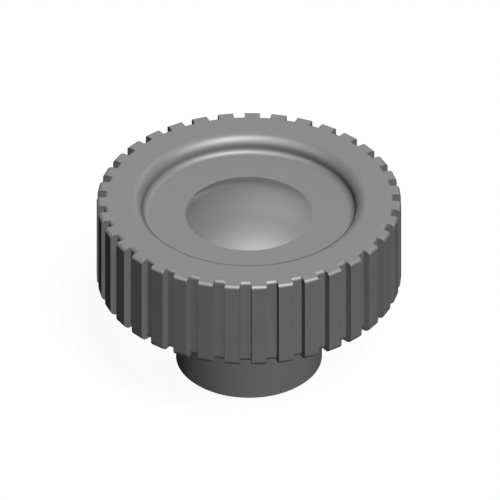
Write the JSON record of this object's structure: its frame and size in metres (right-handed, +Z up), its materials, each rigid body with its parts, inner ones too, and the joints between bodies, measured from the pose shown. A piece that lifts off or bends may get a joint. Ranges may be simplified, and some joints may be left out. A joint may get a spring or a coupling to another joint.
{
  "type": "pan handle knob",
  "caption": "Round grip knob with a toothed rim, a recessed top with a low dome, and a hub whose moulded-in brass bush screws onto a stud",
  "frame": {"origin": "centre of the hub's lower face, where the bush opens", "axes": "+Z up the knob's axis, from the hub to the grip; +X through the middle of one tooth"},
  "size_m": [0.05, 0.05, 0.0318],
  "materials": {
    "moulding": "satin, as moulded",
    "bush": "turned"
  },
  "bodies": {
    "root": {"knob_body": "moulding", "threaded_insert": "bush"}
  },
  "joints": []
}
